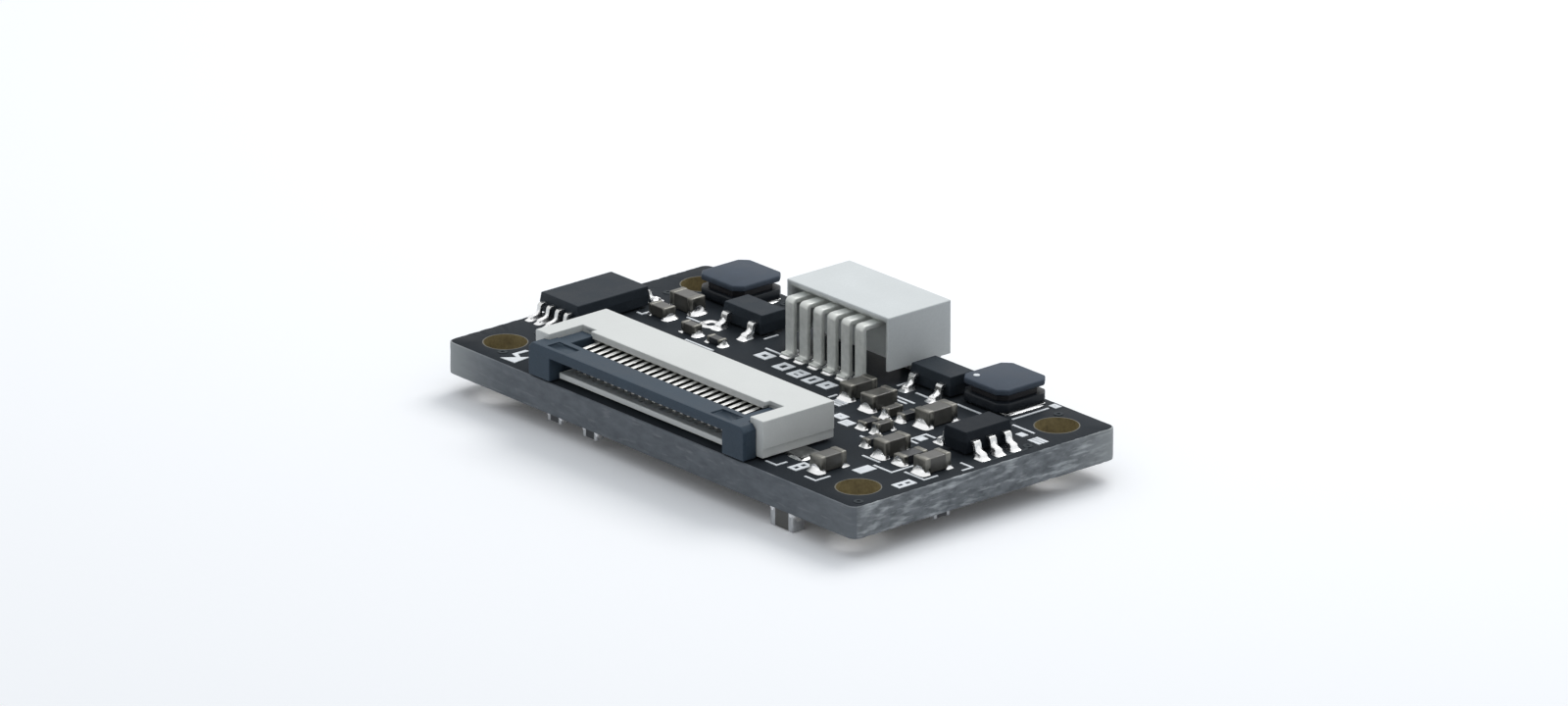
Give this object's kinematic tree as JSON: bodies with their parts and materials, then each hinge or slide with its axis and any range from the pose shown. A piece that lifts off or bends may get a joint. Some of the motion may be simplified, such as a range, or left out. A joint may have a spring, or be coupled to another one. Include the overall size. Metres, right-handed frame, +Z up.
{
  "type": "camera module circuit board",
  "caption": "Small dark rectangular circuit board of a camera module with corner mounting holes, a slide-lock flat-cable connector, a side-entry wire socket, chips, inductors and chip parts.",
  "frame": {"origin": "centre of the four mounting holes, on the board's top face", "axes": "+X along the front edge, +Y from the flat-cable edge to the wire-socket edge, +Z up off the face that carries the connectors"},
  "size_m": [0.0296, 0.0164, 0.006],
  "materials": {
    "board": "matte black solder mask on glass-fibre laminate",
    "ivory_plastic": "moulded, satin",
    "grey_white_plastic": "moulded, satin",
    "slate_plastic": "moulded, satin",
    "tinned_metal": "tin plate",
    "contact_metal": "plated spring metal",
    "plated_ends": "dull tin plate",
    "ferrite": "fired ferrite",
    "winding_resin": "dark resin coat",
    "capacitor_ceramic": "fired ceramic",
    "resistor_ceramic": "dark overglaze",
    "chip_black": "moulded compound"
  },
  "bodies": {
    "board": {"capacitor_1": "capacitor_ceramic", "capacitor_10": "capacitor_ceramic", "capacitor_11": "capacitor_ceramic", "capacitor_2": "capacitor_ceramic", "capacitor_3": "capacitor_ceramic", "capacitor_4": "capacitor_ceramic", "capacitor_5": "capacitor_ceramic", "capacitor_6": "capacitor_ceramic", "capacitor_7": "capacitor_ceramic", "capacitor_8": "capacitor_ceramic", "capacitor_9": "capacitor_ceramic", "capacitor_terminals": "plated_ends", "centre_regulator_body": "chip_black", "centre_regulator_leads": "tinned_metal", "circuit_board": "board", "ffc_contacts": "contact_metal", "ffc_hold_downs": "tinned_metal", "ffc_housing": "ivory_plastic", "left_inductor_core": "ferrite", "left_inductor_pads": "tinned_metal", "left_inductor_winding": "winding_resin", "left_regulator_body": "chip_black", "left_regulator_leads": "tinned_metal", "memory_chip_body": "chip_black", "memory_chip_leads": "tinned_metal", "processor_body": "chip_black", "processor_pads": "tinned_metal", "resistor_1": "resistor_ceramic", "resistor_2": "resistor_ceramic", "resistor_3": "resistor_ceramic", "resistor_4": "resistor_ceramic", "resistor_5": "resistor_ceramic", "resistor_terminals": "plated_ends", "right_inductor_core": "ferrite", "right_inductor_pads": "tinned_metal", "right_inductor_winding": "winding_resin", "right_regulator_body": "chip_black", "right_regulator_leads": "tinned_metal", "under_capacitor": "capacitor_ceramic", "under_resistor_1": "resistor_ceramic", "under_resistor_2": "resistor_ceramic", "under_resistor_3": "resistor_ceramic", "under_terminals": "plated_ends", "wire_socket_hold_downs": "tinned_metal", "wire_socket_housing": "grey_white_plastic", "wire_socket_pins": "tinned_metal"},
    "slider": {"ffc_slider": "slate_plastic"}
  },
  "joints": [
    {"name": "slider_slide", "type": "slide", "parent": "board", "child": "slider", "axis": [0, -1, 0], "range_m": [0, 0.001]}
  ]
}
